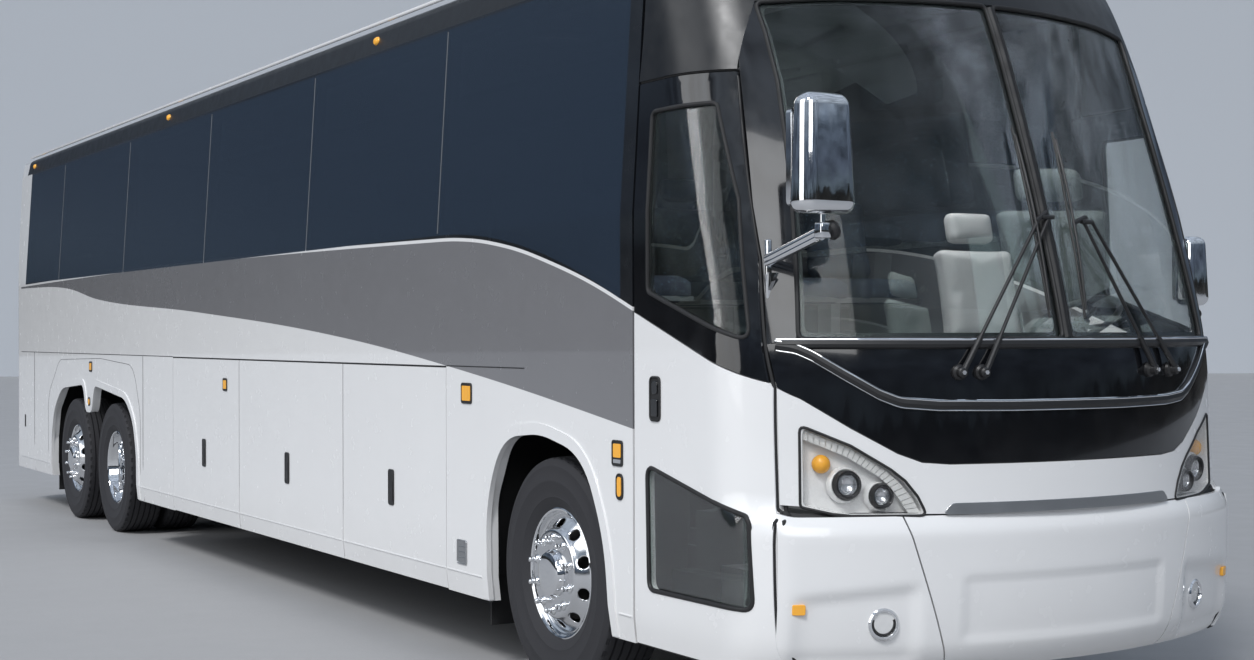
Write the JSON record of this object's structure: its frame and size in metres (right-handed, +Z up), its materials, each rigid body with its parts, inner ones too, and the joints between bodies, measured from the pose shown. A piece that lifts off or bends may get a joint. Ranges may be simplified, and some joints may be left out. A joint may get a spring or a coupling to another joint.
{
  "type": "coach bus",
  "caption": "Long-distance three-axle coach with turning and steered wheels, swinging entry door, parallel-lift luggage doors, rear engine lid and roof hatches.",
  "frame": {"origin": "on the ground under the middle of the coach, at the bottom centre of its box", "axes": "+X forward along the coach, +Y to its left, +Z up"},
  "size_m": [13.8798, 2.728, 3.4998],
  "materials": {
    "body_white": "gloss",
    "tinted_glass": "gloss",
    "clear_glass": "gloss",
    "lamp_lens": "gloss",
    "amber_lens": "gloss",
    "red_lens": "gloss",
    "underbody_paint": "satin",
    "arm_steel": "satin",
    "engine_iron": "matte",
    "floor_covering": "matte",
    "seat_fabric": "matte",
    "dash_plastic": "matte",
    "mirror_chrome": "gloss",
    "trim_black": "satin",
    "flap_rubber": "matte",
    "tyre_rubber": "matte",
    "wheel_alloy": "gloss"
  },
  "bodies": {
    "coach_body": {"chassis_frame": "underbody_paint", "dashboard": "dash_plastic", "driver_seat": "seat_fabric", "engine_block": "engine_iron", "floor_deck": "floor_covering", "front_axle": "underbody_paint", "front_bumper": "body_white", "front_floor": "floor_covering", "front_mask": "body_white", "headlamps": "lamp_lens", "luggage_bulkheads": "underbody_paint", "luggage_floor": "underbody_paint", "marker_lamps": "amber_lens", "mirrors": "mirror_chrome", "mudflaps": "flap_rubber", "passenger_seats": "seat_fabric", "rear_axles": "underbody_paint", "rear_bumper": "body_white", "rear_cap": "body_white", "roof_shell": "body_white", "side_glass": "tinted_glass", "side_wall_left": "body_white", "side_wall_right": "body_white", "steering_wheel": "dash_plastic", "tail_lamps": "red_lens", "wheel_housings": "underbody_paint", "windscreen": "clear_glass", "wipers": "trim_black"},
    "knuckle_body_left": {"knuckle_left": "underbody_paint"},
    "wheel_front_left": {"tyre_front_left": "tyre_rubber", "rim_front_left": "wheel_alloy"},
    "wheel_drive_left": {"tyres_drive_left": "tyre_rubber", "rims_drive_left": "wheel_alloy"},
    "wheel_tag_left": {"tyre_tag_left": "tyre_rubber", "rim_tag_left": "wheel_alloy"},
    "arms_left_1": {"bay_arms_left_1": "arm_steel"},
    "luggage_door_left_1": {"bay_door_left_1": "body_white"},
    "arms_left_2": {"bay_arms_left_2": "arm_steel"},
    "luggage_door_left_2": {"bay_door_left_2": "body_white"},
    "arms_left_3": {"bay_arms_left_3": "arm_steel"},
    "luggage_door_left_3": {"bay_door_left_3": "body_white"},
    "knuckle_body_right": {"knuckle_right": "underbody_paint"},
    "wheel_front_right": {"tyre_front_right": "tyre_rubber", "rim_front_right": "wheel_alloy"},
    "wheel_drive_right": {"tyres_drive_right": "tyre_rubber", "rims_drive_right": "wheel_alloy"},
    "wheel_tag_right": {"tyre_tag_right": "tyre_rubber", "rim_tag_right": "wheel_alloy"},
    "arms_right_1": {"bay_arms_right_1": "arm_steel"},
    "luggage_door_right_1": {"bay_door_right_1": "body_white"},
    "arms_right_2": {"bay_arms_right_2": "arm_steel"},
    "luggage_door_right_2": {"bay_door_right_2": "body_white"},
    "arms_right_3": {"bay_arms_right_3": "arm_steel"},
    "luggage_door_right_3": {"bay_door_right_3": "body_white"},
    "entrance": {"entry_door": "body_white", "entry_door_glass": "clear_glass"},
    "engine_lid": {"engine_door": "body_white"},
    "hatch_front": {"roof_hatch_front": "body_white"},
    "hatch_rear": {"roof_hatch_rear": "body_white"}
  },
  "joints": [
    {"name": "steer_left", "type": "hinge", "parent": "coach_body", "child": "knuckle_body_left", "pos_m": [4.82, 0.88, 0.538], "axis": [0, 0, 1], "range_deg": [-40, 40]},
    {"name": "steer_right", "type": "hinge", "parent": "coach_body", "child": "knuckle_body_right", "pos_m": [4.82, -0.88, 0.538], "axis": [0, 0, 1], "range_deg": [-40, 40]},
    {"name": "spin_front_left", "type": "hinge", "parent": "knuckle_body_left", "child": "wheel_front_left", "pos_m": [4.82, 1.094, 0.538], "axis": [0, 1, 0], "continuous": true},
    {"name": "spin_drive_left", "type": "hinge", "parent": "coach_body", "child": "wheel_drive_left", "pos_m": [-3.18, 1.094, 0.538], "axis": [0, 1, 0], "continuous": true},
    {"name": "spin_tag_left", "type": "hinge", "parent": "coach_body", "child": "wheel_tag_left", "pos_m": [-4.54, 1.094, 0.538], "axis": [0, 1, 0], "continuous": true},
    {"name": "spin_front_right", "type": "hinge", "parent": "knuckle_body_right", "child": "wheel_front_right", "pos_m": [4.82, -1.094, 0.538], "axis": [0, 1, 0], "continuous": true},
    {"name": "spin_drive_right", "type": "hinge", "parent": "coach_body", "child": "wheel_drive_right", "pos_m": [-3.18, -1.094, 0.538], "axis": [0, 1, 0], "continuous": true},
    {"name": "spin_tag_right", "type": "hinge", "parent": "coach_body", "child": "wheel_tag_right", "pos_m": [-4.54, -1.094, 0.538], "axis": [0, 1, 0], "continuous": true},
    {"name": "lift_right_1", "type": "hinge", "parent": "coach_body", "child": "arms_right_1", "pos_m": [-0.4348, -1.17, 1.39], "axis": [-1, 0, 0], "range_deg": [0, 100]},
    {"name": "level_right_1", "type": "hinge", "parent": "arms_right_1", "child": "luggage_door_right_1", "pos_m": [-0.4348, -1.17, 0.74], "axis": [-1, 0, 0], "range_deg": [-100, 0]},
    {"name": "lift_right_2", "type": "hinge", "parent": "coach_body", "child": "arms_right_2", "pos_m": [1.31, -1.17, 1.39], "axis": [-1, 0, 0], "range_deg": [0, 100]},
    {"name": "level_right_2", "type": "hinge", "parent": "arms_right_2", "child": "luggage_door_right_2", "pos_m": [1.31, -1.17, 0.74], "axis": [-1, 0, 0], "range_deg": [-100, 0]},
    {"name": "lift_right_3", "type": "hinge", "parent": "coach_body", "child": "arms_right_3", "pos_m": [3, -1.17, 1.39], "axis": [-1, 0, 0], "range_deg": [0, 100]},
    {"name": "level_right_3", "type": "hinge", "parent": "arms_right_3", "child": "luggage_door_right_3", "pos_m": [3, -1.17, 0.74], "axis": [-1, 0, 0], "range_deg": [-100, 0]},
    {"name": "lift_left_1", "type": "hinge", "parent": "coach_body", "child": "arms_left_1", "pos_m": [-0.4348, 1.17, 1.39], "axis": [1, 0, 0], "range_deg": [0, 100]},
    {"name": "level_left_1", "type": "hinge", "parent": "arms_left_1", "child": "luggage_door_left_1", "pos_m": [-0.4348, 1.17, 0.74], "axis": [1, 0, 0], "range_deg": [-100, 0]},
    {"name": "lift_left_2", "type": "hinge", "parent": "coach_body", "child": "arms_left_2", "pos_m": [1.31, 1.17, 1.39], "axis": [1, 0, 0], "range_deg": [0, 100]},
    {"name": "level_left_2", "type": "hinge", "parent": "arms_left_2", "child": "luggage_door_left_2", "pos_m": [1.31, 1.17, 0.74], "axis": [1, 0, 0], "range_deg": [-100, 0]},
    {"name": "lift_left_3", "type": "hinge", "parent": "coach_body", "child": "arms_left_3", "pos_m": [3, 1.17, 1.39], "axis": [1, 0, 0], "range_deg": [0, 100]},
    {"name": "level_left_3", "type": "hinge", "parent": "arms_left_3", "child": "luggage_door_left_3", "pos_m": [3, 1.17, 0.74], "axis": [1, 0, 0], "range_deg": [-100, 0]},
    {"name": "entrance_swing", "type": "hinge", "parent": "coach_body", "child": "entrance", "pos_m": [6.46, -1.19, 1.2], "axis": [0, 0, 1], "range_deg": [0, 88]},
    {"name": "engine_lid_lift", "type": "hinge", "parent": "coach_body", "child": "engine_lid", "pos_m": [-6.934, 0.585, 1.695], "axis": [0, 1, 0], "range_deg": [0, 85]},
    {"name": "hatch_front_lift", "type": "hinge", "parent": "coach_body", "child": "hatch_front", "pos_m": [2.99384, 0.2, 3.482], "axis": [0, 1, 0], "range_deg": [0, 80]},
    {"name": "hatch_rear_lift", "type": "hinge", "parent": "coach_body", "child": "hatch_rear", "pos_m": [-3.0058, 0.2, 3.482], "axis": [0, 1, 0], "range_deg": [0, 80]}
  ],
  "couplings": [
    {"joint": "steer_right", "follows": "steer_left", "ratio": 1},
    {"joint": "level_right_1", "follows": "lift_right_1", "ratio": -1},
    {"joint": "level_right_2", "follows": "lift_right_2", "ratio": -1},
    {"joint": "level_right_3", "follows": "lift_right_3", "ratio": -1},
    {"joint": "level_left_1", "follows": "lift_left_1", "ratio": -1},
    {"joint": "level_left_2", "follows": "lift_left_2", "ratio": -1},
    {"joint": "level_left_3", "follows": "lift_left_3", "ratio": -1}
  ]
}
